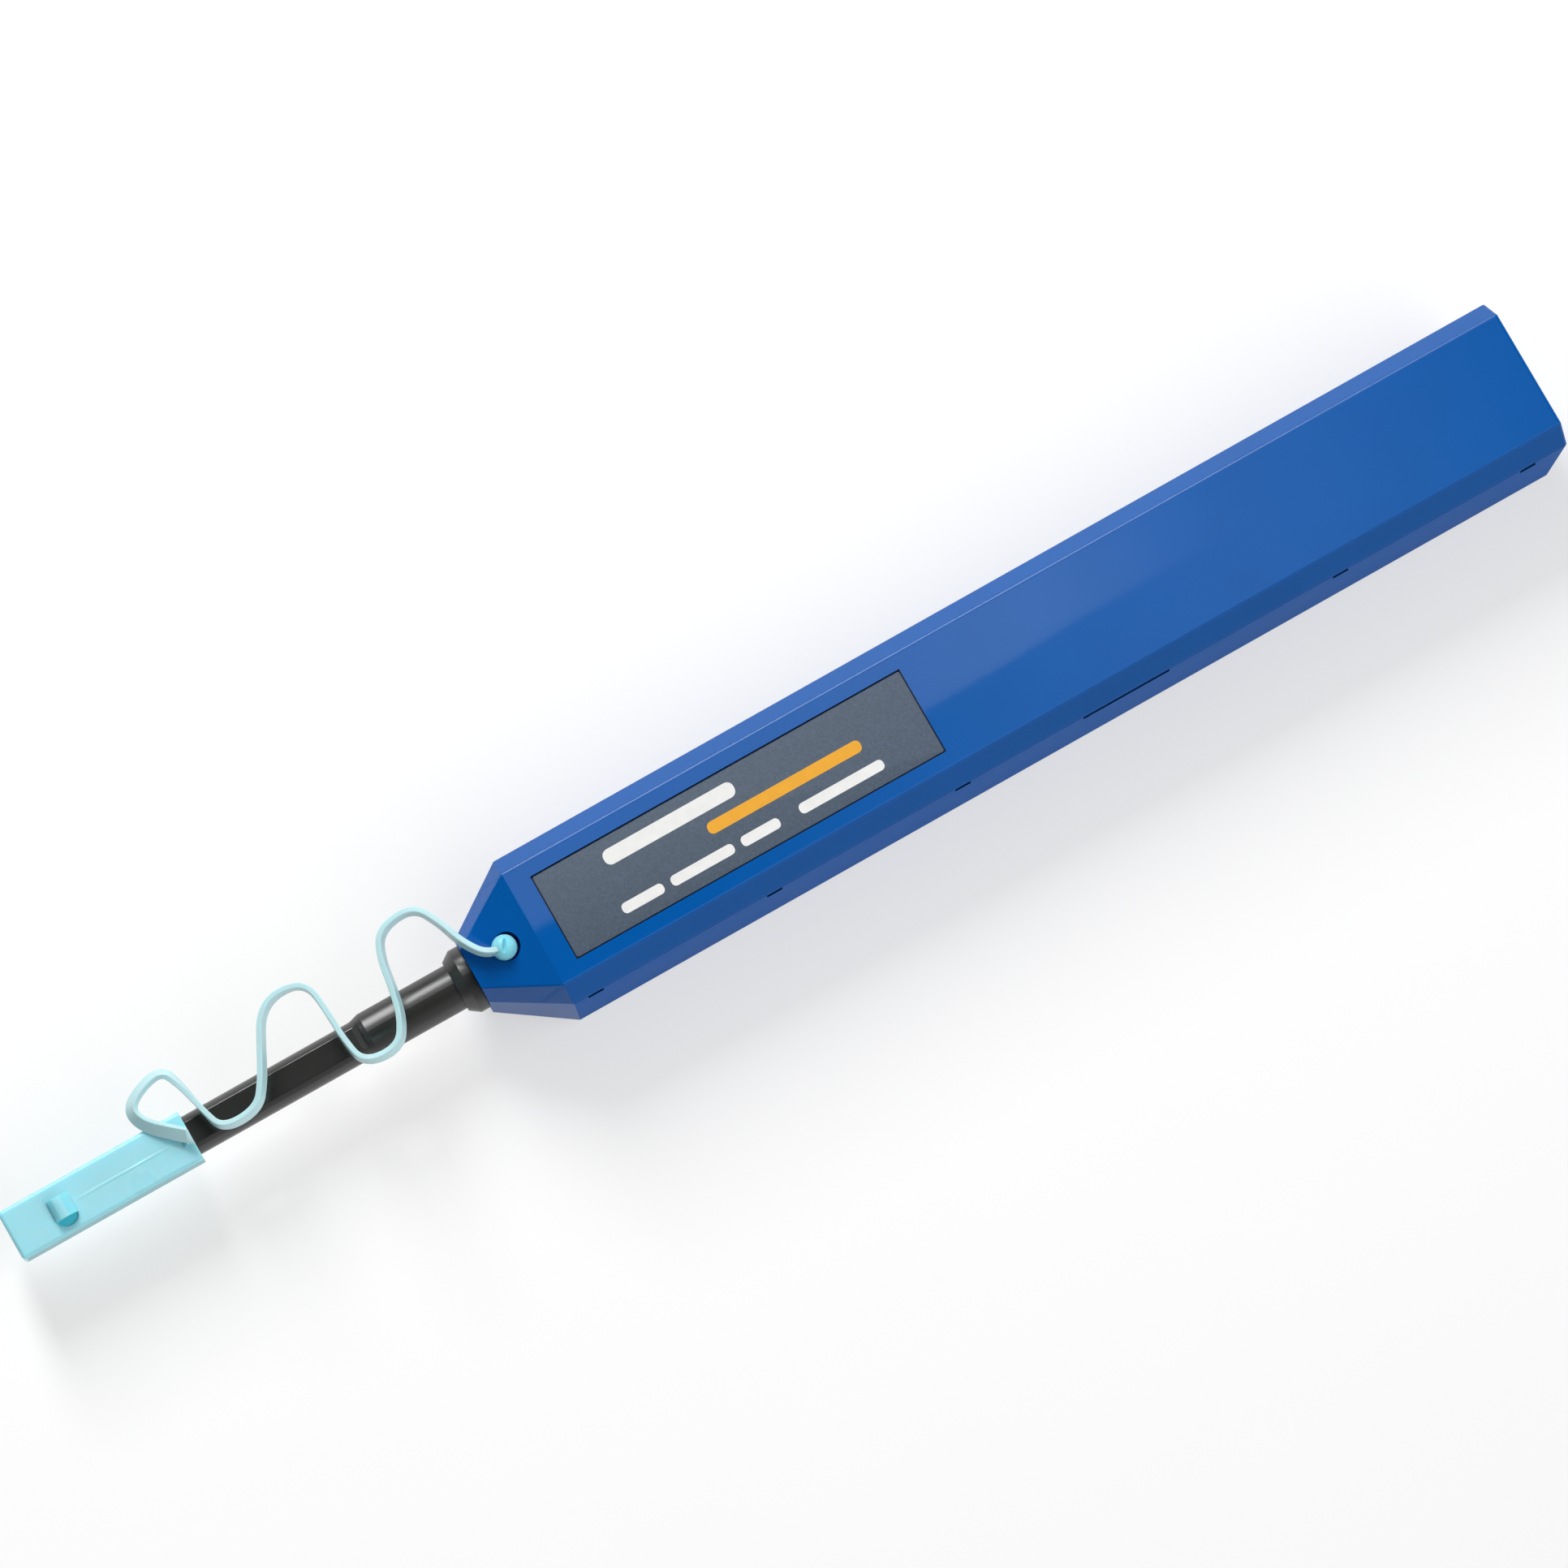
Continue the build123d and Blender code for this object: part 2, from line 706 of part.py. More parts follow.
def helix_groove():
    """Round-bottomed helical groove that the cam pin follows as the shaft moves back and turns."""
    pitch = push_travel * 360 / cam_turn
    path = Helix(pitch, push_travel + 2 * cam_overrun, cam_radius)
    start = Plane(origin=path @ 0, z_dir=path % 0)
    groove = sweep(start * Circle(cam_groove_radius), path=path, is_frenet=True)
    angle = math.radians(90 - cam_turn - 360 * cam_overrun / pitch)
    place = Plane(
        origin=(cam_pin_x - push_travel - cam_overrun, 0, axis_z),
        x_dir=(0, math.cos(angle), math.sin(angle)),
        z_dir=(1, 0, 0),
    )
    return place * groove


def make_cam_shaft():
    """Hollow shaft that turns the head half a turn on each push."""
    end = cam_end_x + cam_rear_journal
    points = [
        (journal_x, spring_pocket_radius),
        (journal_x, cam_journal_radius),
        (cam_x, cam_journal_radius),
        (cam_x, cam_radius),
        (cam_end_x, cam_radius),
        (cam_end_x, cam_rear_radius),
        (end, cam_rear_radius),
        (end, cam_bore_radius),
        (pocket_end_x, cam_bore_radius),
        (pocket_end_x, spring_pocket_radius),
    ]
    return turned(points) - helix_groove()


def make_head():
    """Slim head with two thread flats, a flange for its spring and a rounded tip."""
    tip_x = head_tip_x + 2 * thread_radius + thread_gap
    neck_x = nozzle_tip_x + sleeve_seat + head_neck_gap
    flange_end = flange_x + head_flange_thick
    round_off = head_tip_radius / 3
    points = [
        (tip_x, 0),
        (tip_x, head_tip_radius - round_off),
        (tip_x + round_off, head_tip_radius),
        (neck_x, head_tip_radius),
        (neck_x + head_radius - head_tip_radius, head_radius),
        (flange_x, head_radius),
        (flange_x, head_flange_radius),
        (flange_end, head_flange_radius),
        (flange_end, 0),
    ]
    head = turned(points)
    for side in (-1, 1):
        edges = sorted((side * head_flat, side * (head_flat + 2 * thread_offset)))
        head -= block(head_tip_x - 1, flange_x, *edges, axis_z - head_radius, axis_z + head_radius)
        slot = sorted((side * head_flat, side * (thread_offset + thread_radius + thread_gap)))
        head -= block(flange_x - 1, flange_end + 1, *slot, axis_z - head_flat, axis_z + head_flat)
    return head


def make_tip_spring():
    """Spring that presses the head forward."""
    start = flange_x + head_flange_thick + thread_gap
    length = pocket_end_x - thread_gap - start
    return lying(coil(tip_spring_wire, tip_spring_radius, length, tip_spring_turns), start)


def make_return_spring():
    """Spring that pushes the carriage forward again."""
    length = spring_length - 2 * seat_gap
    return lying(coil(spring_wire, spring_radius, length, spring_turns), frame_end_x + seat_gap)


def make_cap():
    """Clear cap with a plug socket in front, a ferrule guide and a bore for the nozzle."""
    half = cap_width / 2
    cap = block(cap_tip_x, cap_mouth_x, -half, half, axis_z - half, axis_z + half)
    outer = cap.edges().filter_by(Axis.X) + cap.faces().sort_by(Axis.X)[0].edges()
    cap = fillet(outer, cap_edge)
    nub = Rot(90, 0, 0) * Cylinder(cap_nub_radius, cap_nub_length)
    nub = Pos(cap_tip_x + cap_nub_place, 0, cap_top_z) * nub
    cap += nub - block(cap_tip_x, cap_mouth_x, -half, half, axis_z, cap_top_z - cap_edge)
    lug_points = [
        (cap_mouth_x - cap_lug_length, cap_top_z - cap_edge),
        (cap_mouth_x, cap_top_z - cap_edge),
        (cap_mouth_x, cap_top_z + cap_lug_height),
        (cap_mouth_x - cap_lug_length / 2, cap_top_z + cap_lug_height),
    ]
    lug_face = Plane.XZ * make_face(Polyline(*lug_points, close=True))
    cap += extrude(lug_face, cap_lug_width / 2, both=True)
    socket = cap_socket_width / 2
    socket_end = cap_tip_x + cap_socket_depth
    cap -= block(cap_tip_x - 1, socket_end, -socket, socket, axis_z - socket, axis_z + socket)
    cap -= rod(cap_guide_radius, socket_end - 1, socket_end + cap_web + 1)
    cap -= rod(tube_radius + cap_fit, socket_end + cap_web, cap_mouth_x + 1)
    return cap


def make_plug():
    """Ball-headed plug pressed into the nose."""
    plane = nose_plane()
    ball = plane * (Pos(-plug_lean, 0, plug_sink) * Sphere(plug_radius))
    depth = plug_pocket_depth + plug_stem_length - seat_gap
    stem = plane * (Pos(0, 0, -depth / 2) * Cylinder(plug_stem_radius, depth))
    return ball + stem


# Corners of the strap's route in its own plane: along the pen from the cap's lug, and across it
strap_route = [
    (0.0, 0.0),
    (-3.8, 3.3),
    (-5.0, 6.4),
    (-2.4, 8.0),
    (1.2, 7.9),
    (2.4, 3.2),
    (3.2, -1.4),
    (6.6, -2.3),
    (9.6, -1.4),
    (11.6, 2.8),
    (13.8, 8.2),
    (17.2, 9.0),
    (20.6, 8.3),
    (20.9, 2.6),
    (21.4, -3.0),
    (24.5, -4.0),
    (27.5, -2.6),
    (28.2, 2.6),
    (29.4, 8.6),
    (33.2, 9.8),
    (36.0, 8.4),
    (37.4, 4.2),
    (39.2, 0.7),
    (40.8, 0.2),
]


def strap_radii(points):
    """Largest arc that each corner's two runs leave room for."""
    radii = []
    for before, here, after in zip(points, points[1:], points[2:]):
        first = Vector(*here) - Vector(*before)
        second = Vector(*after) - Vector(*here)
        half_turn = math.radians(first.get_angle(second)) / 2
        radii.append(0.45 * min(first.length, second.length) / math.tan(half_turn))
    return radii


def make_strap():
    """Zigzag strap from the cap's lug to the ball of the plug."""
    ball = nose_plane().from_local_coords(Vector(-plug_lean, 0, plug_sink))
    start = Vector(cap_mouth_x - cap_lug_length / 2, 0, cap_top_z + strap_lift)
    rise = math.atan2(ball.Z + strap_ball_lift - start.Z, ball.X - start.X)
    plane = Plane(
        origin=start,
        x_dir=(math.cos(rise), 0, math.sin(rise)),
        z_dir=(-math.sin(rise), 0, math.cos(rise)),
    )
    radii = strap_radii(strap_route)
    print("strap radii", [round(radius, 2) for radius in radii])
    path = FilletPolyline(*strap_route, radius=radii)
    print("strap length", round(path.length, 2))
    across = Plane(origin=path @ 0, x_dir=(0, 0, 1), z_dir=path % 0)
    return plane * sweep(across * Rectangle(strap_width, strap_thick), path=path)


parts = {
    "upper_case": make_upper_case(),
    "lower_case": make_lower_case(),
    "label_plate": make_label(),
    "nose_collar": make_nose_collar(),
    "nozzle": make_nozzle(),
    "tip_sleeve": make_tip_sleeve(),
    "reel_frame": make_frame(),
    "supply_axle": make_axle(supply_x),
    "takeup_axle": make_axle(takeup_x),
    "supply_reel": make_supply_reel(),
    "takeup_reel": make_takeup_reel(),
    "takeup_gear": make_takeup_gear(),
    "clutch_spring": make_clutch_spring(),
    "supply_thread": wound(supply_x, supply_hub_radius, supply_coil_radius, reel_z, reel_top),
    "takeup_thread": wound(takeup_x, takeup_hub_radius, takeup_coil_radius, takeup_z, reel_top),
    "brake_leaf": make_brake(),
    "supply_run": make_supply_run(),
    "return_run": make_return_run(),
    "cam_shaft": make_cam_shaft(),
    "tip_spring": make_tip_spring(),
    "cleaning_head": make_head(),
    "tip_thread": make_tip_thread(),
    "return_spring": make_return_spring(),
    "guide_cap": make_cap(),
    "tether_plug": make_plug(),
    "cap_tether": make_strap(),
}

os.makedirs("parts", exist_ok=True)
for node, shape in parts.items():
    export_step(shape, f"parts/{node}.step")
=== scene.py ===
import json
import math
import bpy
from mathutils import Matrix, Vector


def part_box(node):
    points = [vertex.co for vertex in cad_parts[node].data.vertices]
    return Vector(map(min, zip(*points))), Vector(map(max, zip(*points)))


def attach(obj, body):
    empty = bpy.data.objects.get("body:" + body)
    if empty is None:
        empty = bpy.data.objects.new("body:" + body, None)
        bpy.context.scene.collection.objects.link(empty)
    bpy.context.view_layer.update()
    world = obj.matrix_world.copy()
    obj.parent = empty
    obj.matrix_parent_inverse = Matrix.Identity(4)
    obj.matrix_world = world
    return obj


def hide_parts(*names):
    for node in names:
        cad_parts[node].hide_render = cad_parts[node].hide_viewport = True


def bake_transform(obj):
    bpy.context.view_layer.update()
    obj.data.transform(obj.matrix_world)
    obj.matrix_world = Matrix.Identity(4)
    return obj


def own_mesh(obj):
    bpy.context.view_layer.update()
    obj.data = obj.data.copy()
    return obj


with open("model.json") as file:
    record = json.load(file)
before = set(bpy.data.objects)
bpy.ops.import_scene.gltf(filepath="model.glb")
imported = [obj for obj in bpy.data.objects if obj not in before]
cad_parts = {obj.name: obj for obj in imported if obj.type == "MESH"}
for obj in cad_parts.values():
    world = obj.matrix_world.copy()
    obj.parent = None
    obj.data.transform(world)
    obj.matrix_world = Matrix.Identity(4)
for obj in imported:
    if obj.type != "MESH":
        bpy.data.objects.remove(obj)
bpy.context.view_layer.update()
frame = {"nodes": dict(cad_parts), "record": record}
nodes = frame["nodes"]
mm = 0.001
touch = 0.01  # places closer than this, in millimetres, count as the same
weldGap = 0.000002
print("frame loaded,", len(nodes), "nodes")


# the photograph's view: a long lens almost square on to the label, rolled so that the pen climbs to the right
photo = {
    "pixels": 1932,
    "pixelsPerMm": 10.742,
    "roll": 29.39,
    "toCamera": (-0.05, -0.17, 0.98),
    "aim": (2.545, 1.8, 8.0),
    "lens": 300.0,
    "sensor": 36.0,
    "clip": (0.05, 50),
}


def placeCamera():
    back = Vector(photo["toCamera"]).normalized()
    along = Vector((1, 0, 0))
    along = (along - along.dot(back) * back).normalized()
    across = back.cross(along)
    turn = math.radians(photo["roll"])
    right = along * math.cos(turn) - across * math.sin(turn)
    up = along * math.sin(turn) + across * math.cos(turn)
    width = photo["pixels"] / photo["pixelsPerMm"] * mm
    distance = width * photo["lens"] / photo["sensor"]
    spot = Vector(photo["aim"]) * mm + back * distance
    bpy.ops.object.camera_add(location=spot)
    camera = bpy.context.object
    camera.name = "photo_camera"
    camera.matrix_world = Matrix.Translation(spot) @ Matrix((right, up, back)).transposed().to_4x4()
    camera.data.lens = photo["lens"]
    camera.data.sensor_width = photo["sensor"]
    camera.data.clip_start, camera.data.clip_end = photo["clip"]
    bpy.context.scene.camera = camera


bpy.ops.object.select_all(action="DESELECT")
placeCamera()
print("camera placed")


def addNode(tree, kind, **values):
    node = tree.nodes.new(kind)
    for key, value in values.items():
        setattr(node, key, value)
    return node


def axisOf(tree, coords, axis):
    parts = addNode(tree, "ShaderNodeSeparateXYZ")
    tree.links.new(coords, parts.inputs["Vector"])
    return parts.outputs[axis]


def combine(tree, operation, *inputs):
    # one step of arithmetic on sockets and plain numbers
    node = addNode(tree, "ShaderNodeMath", operation=operation)
    for at, value in enumerate(inputs):
        if isinstance(value, bpy.types.NodeSocket):
            tree.links.new(value, node.inputs[at])
        else:
            node.inputs[at].default_value = value
    return node.outputs["Value"]


def mapRange(tree, value, low, high, reach=(0, 1), curve="LINEAR"):
    node = addNode(tree, "ShaderNodeMapRange", interpolation_type=curve)
    node.inputs["From Min"].default_value, node.inputs["From Max"].default_value = reach
    node.inputs["To Min"].default_value, node.inputs["To Max"].default_value = low, high
    tree.links.new(value, node.inputs["Value"])
    return node.outputs["Result"]


# a tall soft box on the far side streaks the black parts, and a soft fill lifts the near side; two flat
# panels overhead show in the glossy face, one with a sharp edge along its middle and one as a dim glow
lamps = {
    "key": {"from": (0.05, 0.77, 0.64), "distance": 0.9, "wide": 0.2, "tall": 0.5, "watts": 7.4},
    "fill": {"from": (0.5, -0.52, 0.72), "strength": 1.55, "spread": 60.0},
    "panel": {"x": (-0.04, 0.105), "y": (0.038, 0.148), "height": 0.235, "watts": 0.054, "fade": (0.6, 0.87)},
    "glow": {"x": (-0.01, 0.165), "y": (-0.06, 0.12), "height": 0.245, "watts": 0.078, "fade": (0.5, 0.95)},
    "world": {"above": 0.06, "near": 0.5, "band": (-0.5, -0.97)},
}


def addSoftBox(name, look):
    towards = Vector(look["from"]).normalized()
    bpy.ops.object.light_add(type="AREA", location=towards * look["distance"])
    box = bpy.context.object
    box.name = name
    box.rotation_mode = "QUATERNION"
    box.rotation_quaternion = (-towards).to_track_quat("-Z", "Y")
    box.data.shape = "RECTANGLE"
    box.data.size, box.data.size_y = look["wide"], look["tall"]
    box.data.energy = look["watts"]
    box.visible_camera = False


def addSun(name, look):
    bpy.ops.object.light_add(type="SUN", location=Vector(look["from"]))
    sun = bpy.context.object
    sun.name = name
    sun.rotation_mode = "QUATERNION"
    sun.rotation_quaternion = (-Vector(look["from"])).to_track_quat("-Z", "Y")
    sun.data.energy = look["strength"]
    sun.data.angle = math.radians(look["spread"])
    sun.visible_glossy = False  # it lifts the shade and leaves no shine of its own


def addPanel(name, look, bothEnds):
    # a flat lamp that faces down and dims towards its rear end, or towards both ends
    (x0, x1), (y0, y1) = look["x"], look["y"]
    bpy.ops.object.light_add(type="AREA", location=((x0 + x1) / 2, (y0 + y1) / 2, look["height"]))
    lamp = bpy.context.object
    lamp.name = name
    lamp.data.shape = "RECTANGLE"
    lamp.data.size, lamp.data.size_y = x1 - x0, y1 - y0
    lamp.data.energy = look["watts"]
    lamp.visible_camera = False
    lamp.data.use_nodes = True
    tree = lamp.data.node_tree
    along = axisOf(tree, addNode(tree, "ShaderNodeNewGeometry").outputs["Position"], "X")
    dimFrom, dimTo = (x0 + (x1 - x0) * share for share in look["fade"])
    strength = mapRange(tree, along, 1, 0, (dimFrom, dimTo), "SMOOTHSTEP")
    if bothEnds:
        rise = mapRange(tree, along, 0, 1, (x0, dimFrom), "SMOOTHSTEP")
        strength = combine(tree, "MULTIPLY", rise, strength)
    tree.links.new(strength, tree.nodes["Emission"].inputs["Strength"])


def makeWorld():
    look = lamps["world"]
    world = bpy.data.worlds.new("studio")
    bpy.context.scene.world = world
    world.use_nodes = True
    tree = world.node_tree
    across = axisOf(tree, addNode(tree, "ShaderNodeTexCoord").outputs["Generated"], "Y")
    level = mapRange(tree, across, look["above"], look["near"], look["band"], "SMOOTHSTEP")
    tree.links.new(level, tree.nodes["Background"].inputs["Color"])  # paler towards the near side


addSoftBox("key_lamp", lamps["key"])
addSun("fill_lamp", lamps["fill"])
addPanel("panel_lamp", lamps["panel"], False)
addPanel("glow_lamp", lamps["glow"], True)
makeWorld()
print("lamps placed")


def newMaterial(name):
    material = bpy.data.materials.new(name)
    material.use_nodes = True
    tree = material.node_tree
    tree.nodes.clear()
    output = tree.nodes.new("ShaderNodeOutputMaterial")
    return material, tree, output


def noiseAt(tree, coords, scale, detail=2.0, rough=0.5):
    noise = addNode(tree, "ShaderNodeTexNoise")
    noise.inputs["Scale"].default_value = scale
    noise.inputs["Detail"].default_value = detail
    noise.inputs["Roughness"].default_value = rough
    tree.links.new(coords, noise.inputs["Vector"])
    return noise.outputs["Fac"]


def rampFrom(tree, value, stops):
    ramp = addNode(tree, "ShaderNodeValToRGB")
    for at, (position, colour) in enumerate(stops):
        element = ramp.color_ramp.elements[at]
        element.position = position
        element.color = (*colour, 1)
    tree.links.new(value, ramp.inputs["Fac"])
    return ramp.outputs["Color"]


def dullWhere(tree, gloss, mask, rough):
    return combine(tree, "MAXIMUM", gloss, combine(tree, "MULTIPLY", mask, rough))


# what the plastics have in common
mould = {
    "cloudDetail": 3.0, "cloudBand": (0.3, 0.7), "skinDetail": 2.0, "skinRough": 0.6, "waveDetail": 1.0,
    "ior": 1.5,
}


def moulded(name, look):
    # moulded plastic: cloudy colour, uneven gloss and a fine skin from the mould
    material, tree, output = newMaterial(name)
    shader = addNode(tree, "ShaderNodeBsdfPrincipled")
    tree.links.new(shader.outputs["BSDF"], output.inputs["Surface"])
    coords = addNode(tree, "ShaderNodeTexCoord").outputs["Object"]
    cloud = noiseAt(tree, coords, look["cloudScale"], mould["cloudDetail"])
    base = Vector(look["colour"])
    tones = (base * (1 - look["cloud"]), base * (1 + look["cloud"]))
    tree.links.new(rampFrom(tree, cloud, zip(mould["cloudBand"], tones)), shader.inputs["Base Color"])
    gloss = mapRange(tree, cloud, *look["rough"])
    if "wornAt" in look:  # the long edges are rubbed to a satin line
        across = combine(tree, "ABSOLUTE", axisOf(tree, coords, "Y"))
        line = combine(tree, "COMPARE", across, look["wornAt"], look["wornWide"])
        gloss = dullWhere(tree, gloss, line, look["wornRough"])
    if "satinFrom" in look:  # satin behind this place, gloss in front of it
        behind = combine(tree, "GREATER_THAN", axisOf(tree, coords, "X"), look["satinFrom"])
        gloss = dullWhere(tree, gloss, behind, look["satinRough"])
    tree.links.new(gloss, shader.inputs["Roughness"])
    bump = addNode(tree, "ShaderNodeBump")
    bump.inputs["Strength"].default_value = look["skin"]
    bump.inputs["Distance"].default_value = look["skinDepth"]
    skin = noiseAt(tree, coords, look["skinScale"], mould["skinDetail"], mould["skinRough"])
    tree.links.new(skin, bump.inputs["Height"])
    tree.links.new(bump.outputs["Normal"], shader.inputs["Normal"])
    if "waveScale" in look:  # long shallow waves from the mould
        sway = addNode(tree, "ShaderNodeBump")
        sway.inputs["Distance"].default_value = look["waveDepth"]
        tree.links.new(noiseAt(tree, coords, look["waveScale"], mould["waveDetail"]), sway.inputs["Height"])
        tree.links.new(sway.outputs["Normal"], bump.inputs["Normal"])
    shader.inputs["IOR"].default_value = look.get("ior", mould["ior"])
    shader.inputs["Metallic"].default_value = look.get("metal", 0.0)
    if "under" in look:
        shader.inputs["Subsurface Weight"].default_value = look["under"]
        shader.inputs["Subsurface Radius"].default_value = look["underRadius"]
        shader.inputs["Subsurface Scale"].default_value = look["underScale"]
    return material


finishes = {
    "case_blue": {
        "colour": (0.0, 0.09, 0.36), "cloud": 0.03, "cloudScale": 90.0, "rough": (0.02, 0.04),
        "skin": 0.02, "skinScale": 2600.0, "skinDepth": 0.00002, "ior": 1.42,
        "waveScale": 45.0, "waveDepth": 0.00005,
        "wornAt": 0.00735, "wornWide": 0.00025, "wornRough": 0.36,
    },
    "lower_blue": {  # the lower shell has a satin skin
        "colour": (0.0, 0.089, 0.365), "cloud": 0.03, "cloudScale": 90.0, "rough": (0.34, 0.42),
        "skin": 0.05, "skinScale": 2600.0, "skinDepth": 0.00002, "ior": 1.06,
    },
    "nose_blue": {  # the lower shell's nose catches more of the pale table
        "colour": (0.0, 0.089, 0.35), "cloud": 0.03, "cloudScale": 90.0, "rough": (0.34, 0.42),
        "skin": 0.05, "skinScale": 2600.0, "skinDepth": 0.00002, "ior": 1.25,
    },
    "window_painted_shade": {  # painted shade: the hook windows' inner faces are near black, standing in for shade
        "colour": (0.0, 0.025, 0.11), "cloud": 0.1, "cloudScale": 900.0, "rough": (0.6, 0.7),
        "skin": 0.1, "skinScale": 2600.0, "skinDepth": 0.00002, "ior": 1.1,
    },
    "print_white": {
        "colour": (0.78, 0.78, 0.77), "cloud": 0.03, "cloudScale": 900.0, "rough": (0.45, 0.55),
        "skin": 0.1, "skinScale": 4200.0, "skinDepth": 0.00001,
    },
    "print_amber": {
        "colour": (0.78, 0.36, 0.015), "cloud": 0.03, "cloudScale": 900.0, "rough": (0.45, 0.55),
        "skin": 0.1, "skinScale": 4200.0, "skinDepth": 0.00001,
    },
    # painted shadow: the near-black bed shows round the film as the recess's shade
    "label_painted_shadow_bed": {
        "colour": (0.008, 0.01, 0.014), "cloud": 0.1, "cloudScale": 900.0, "rough": (0.6, 0.7),
        "skin": 0.1, "skinScale": 4200.0, "skinDepth": 0.00001,
    },
    "label_grey": {
        "colour": (0.07, 0.097, 0.137), "cloud": 0.16, "cloudScale": 4200.0, "rough": (0.66, 0.76),
        "skin": 0.25, "skinScale": 4200.0, "skinDepth": 0.00003,
    },
    "nozzle_black": {
        "colour": (0.017, 0.018, 0.016), "cloud": 0.08, "cloudScale": 260.0, "rough": (0.21, 0.25),
        "skin": 0.12, "skinScale": 3400.0, "skinDepth": 0.00003, "ior": 1.66,
        "satinFrom": -0.0545, "satinRough": 0.35,
    },
    "cap_clear": {
        "colour": (0.385, 0.755, 0.845), "cloud": 0.006, "cloudScale": 240.0, "rough": (0.26, 0.3),
        "skin": 0.05, "skinScale": 2200.0, "skinDepth": 0.00002, "ior": 1.46,
        "under": 0.75, "underRadius": (0.1, 0.9, 1.0), "underScale": 0.0011,
    },
    "cap_deep_and_painted_shade": {  # the ball holds more colour; on the nub's sides and the lug's end faces this deeper colour is painted shade
        "colour": (0.28, 0.71, 0.81), "cloud": 0.02, "cloudScale": 240.0, "rough": (0.26, 0.3),
        "skin": 0.05, "skinScale": 2200.0, "skinDepth": 0.00002, "ior": 1.46,
        "under": 0.75, "underRadius": (0.1, 0.9, 1.0), "underScale": 0.0011,
    },
    "nub_painted_shadow": {  # painted shadow: the nub's end face and the scoop beside it, where the nub's shadow falls
        "colour": (0.09, 0.6, 0.72), "cloud": 0.02, "cloudScale": 240.0, "rough": (0.45, 0.5),
        "skin": 0.05, "skinScale": 2200.0, "skinDepth": 0.00002, "ior": 1.15,
    },
    "cap_side_painted_shade": {  # painted shade: the near wall is coloured greyer, as in shade
        "colour": (0.32, 0.58, 0.63), "cloud": 0.02, "cloudScale": 240.0, "rough": (0.45, 0.5),
        "skin": 0.05, "skinScale": 2200.0, "skinDepth": 0.00002, "ior": 1.2,
    },
    "strap_pale": {
        "colour": (0.5, 0.745, 0.775), "cloud": 0.01, "cloudScale": 400.0, "rough": (0.26, 0.36),
        "skin": 0.05, "skinScale": 2200.0, "skinDepth": 0.00002, "ior": 1.46,
        "under": 0.4, "underRadius": (0.3, 0.9, 1.0), "underScale": 0.0005,
    },
    "inner_acetal": {
        "colour": (0.78, 0.78, 0.74), "cloud": 0.03, "cloudScale": 200.0, "rough": (0.35, 0.5),
        "skin": 0.05, "skinScale": 2600.0, "skinDepth": 0.00002,
    },
    "spring_steel": {
        "colour": (0.6, 0.6, 0.61), "cloud": 0.08, "cloudScale": 900.0, "rough": (0.22, 0.36),
        "skin": 0.1, "skinScale": 5200.0, "skinDepth": 0.00002, "metal": 1.0,
    },
    "cleaning_thread": {
        "colour": (0.86, 0.86, 0.83), "cloud": 0.08, "cloudScale": 3000.0, "rough": (0.8, 0.95),
        "skin": 0.6, "skinScale": 6000.0, "skinDepth": 0.00006,
    },
    "tip_polymer": {
        "colour": (0.72, 0.71, 0.64), "cloud": 0.04, "cloudScale": 500.0, "rough": (0.3, 0.42),
        "skin": 0.06, "skinScale": 2600.0, "skinDepth": 0.00002,
    },
}
materials = {slot: moulded(slot + "_finish", look) for slot, look in finishes.items()}
nodeSlots = {row["node"]: row["material_slot"] for row in frame["record"]["subparts"]}


def dress(piece, slot, finish=None, more=()):
    piece.data.materials.clear()
    for name in (finish or slot, *more):
        piece.data.materials.append(materials[name])


for node, piece in nodes.items():
    for holder in piece.material_slots:
        holder.link = "OBJECT"
        holder.material = materials[nodeSlots[node]]
print("finishes on", len(nodes), "nodes")


def pickOnly(piece):
    bpy.ops.object.select_all(action="DESELECT")
    piece.select_set(True)
    bpy.context.view_layer.objects.active = piece


def openMesh(piece):
    pickOnly(piece)
    bpy.ops.object.mode_set(mode="EDIT")
    bpy.ops.mesh.select_all(action="SELECT")


def closeMesh():
    bpy.ops.object.mode_set(mode="OBJECT")


def pickWhere(piece, mode, parts, test):
    # leaves the mesh open, with only the points or faces that pass the test picked
    openMesh(piece)
    bpy.ops.mesh.select_mode(type=mode)
    bpy.ops.mesh.select_all(action="DESELECT")
    closeMesh()
    for part in getattr(piece.data, parts):
        part.select = test(part)
    bpy.ops.object.mode_set(mode="EDIT")


def shadeSmooth(piece, degrees):
    pickOnly(piece)
    bpy.ops.object.shade_smooth_by_angle(angle=math.radians(degrees))


def joinAll(pieces, name):
    pickOnly(pieces[0])
    for piece in pieces[1:]:
        piece.select_set(True)
    if len(pieces) > 1:
        bpy.ops.object.join()
    piece = bpy.context.object
    piece.name = name
    piece.data.name = name
    return piece


def copyOf(node, name):
    # a node's own shape as a new piece, with its loose triangles merged
    piece = bpy.data.objects.new(name, nodes[node].data.copy())
    bpy.context.collection.objects.link(piece)
    openMesh(piece)
    bpy.ops.mesh.customdata_custom_splitnormals_clear()
    bpy.ops.mesh.remove_doubles(threshold=weldGap)
    closeMesh()
    return piece


def finishModifier(piece, kind, **values):
    pickOnly(piece)
    step = piece.modifiers.new(kind.lower(), kind)
    for key, value in values.items():
        setattr(step, key, value)
    bpy.ops.object.modifier_apply(modifier=step.name)


def takeAway(piece, cutter):
    finishModifier(piece, "BOOLEAN", operation="DIFFERENCE", object=cutter, solver="EXACT")
    bpy.data.objects.remove(cutter)


